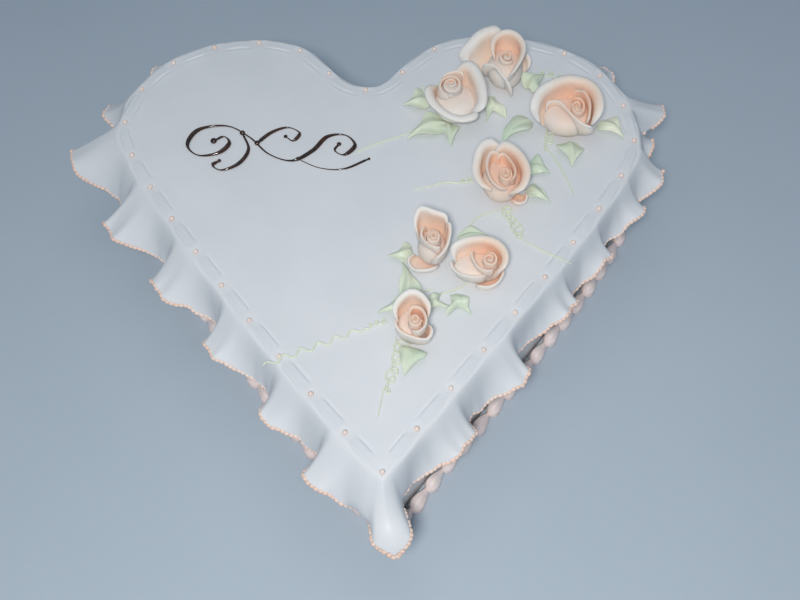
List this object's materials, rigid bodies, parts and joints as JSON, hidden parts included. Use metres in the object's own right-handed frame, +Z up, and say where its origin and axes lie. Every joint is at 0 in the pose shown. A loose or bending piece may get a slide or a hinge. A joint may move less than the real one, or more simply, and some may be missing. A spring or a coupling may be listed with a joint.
{
  "type": "heart shaped cake",
  "caption": "Uncut heart-shaped layer cake under a draped white icing sheet with a ruffled, bead-edged hem, piped shells at the foot, ribbon strips, roses, leaves and a piped scroll on top.",
  "frame": {"origin": "middle of the bounding box at the underside, where the cake rests", "axes": "+Z up, the point of the heart towards -Y and its two lobes towards +Y, +X to the right seen from the point"},
  "size_m": [0.3089, 0.2961, 0.0863],
  "materials": {
    "cake": "matt cream icing on cake",
    "shell_icing": "matt piped icing, pale pink",
    "rolled_icing": "satin rolled icing, cool white",
    "ribbon_icing": "satin rolled icing, cool white",
    "rose_paste": "matt sugar paste, peach fading to white",
    "leaf_icing": "matt piped icing, pale mint green",
    "scroll_icing": "glossy piped brown icing"
  },
  "bodies": {
    "root": {"cake_body": "cake", "shell_border": "shell_icing", "icing_sheet": "rolled_icing", "ribbon_01": "ribbon_icing", "ribbon_02": "ribbon_icing", "ribbon_03": "ribbon_icing", "ribbon_04": "ribbon_icing", "ribbon_05": "ribbon_icing", "ribbon_06": "ribbon_icing", "ribbon_07": "ribbon_icing", "ribbon_08": "ribbon_icing", "ribbon_09": "ribbon_icing", "ribbon_10": "ribbon_icing", "ribbon_11": "ribbon_icing", "ribbon_12": "ribbon_icing", "ribbon_13": "ribbon_icing", "ribbon_14": "ribbon_icing", "ribbon_15": "ribbon_icing", "ribbon_16": "ribbon_icing", "ribbon_17": "ribbon_icing", "ribbon_18": "ribbon_icing", "ribbon_19": "ribbon_icing", "ribbon_20": "ribbon_icing", "ribbon_21": "ribbon_icing", "ribbon_22": "ribbon_icing", "ribbon_23": "ribbon_icing", "ribbon_24": "ribbon_icing", "ribbon_25": "ribbon_icing", "ribbon_26": "ribbon_icing", "ribbon_27": "ribbon_icing", "ribbon_28": "ribbon_icing", "ribbon_29": "ribbon_icing", "ribbon_30": "ribbon_icing", "ribbon_31": "ribbon_icing", "ribbon_32": "ribbon_icing", "ribbon_33": "ribbon_icing", "ribbon_34": "ribbon_icing", "rose_top": "rose_paste", "rose_round": "rose_paste", "rose_large": "rose_paste", "rose_oval": "rose_paste", "rose_tall_bud": "rose_paste", "rose_wide": "rose_paste", "rose_small_bud": "rose_paste", "leaf_01": "leaf_icing", "leaf_02": "leaf_icing", "leaf_03": "leaf_icing", "leaf_04": "leaf_icing", "leaf_05": "leaf_icing", "leaf_06": "leaf_icing", "leaf_07": "leaf_icing", "leaf_08": "leaf_icing", "leaf_09": "leaf_icing", "leaf_10": "leaf_icing", "leaf_11": "leaf_icing", "leaf_12": "leaf_icing", "leaf_13": "leaf_icing", "leaf_14": "leaf_icing", "leaf_15": "leaf_icing", "scroll": "scroll_icing"}
  },
  "joints": []
}
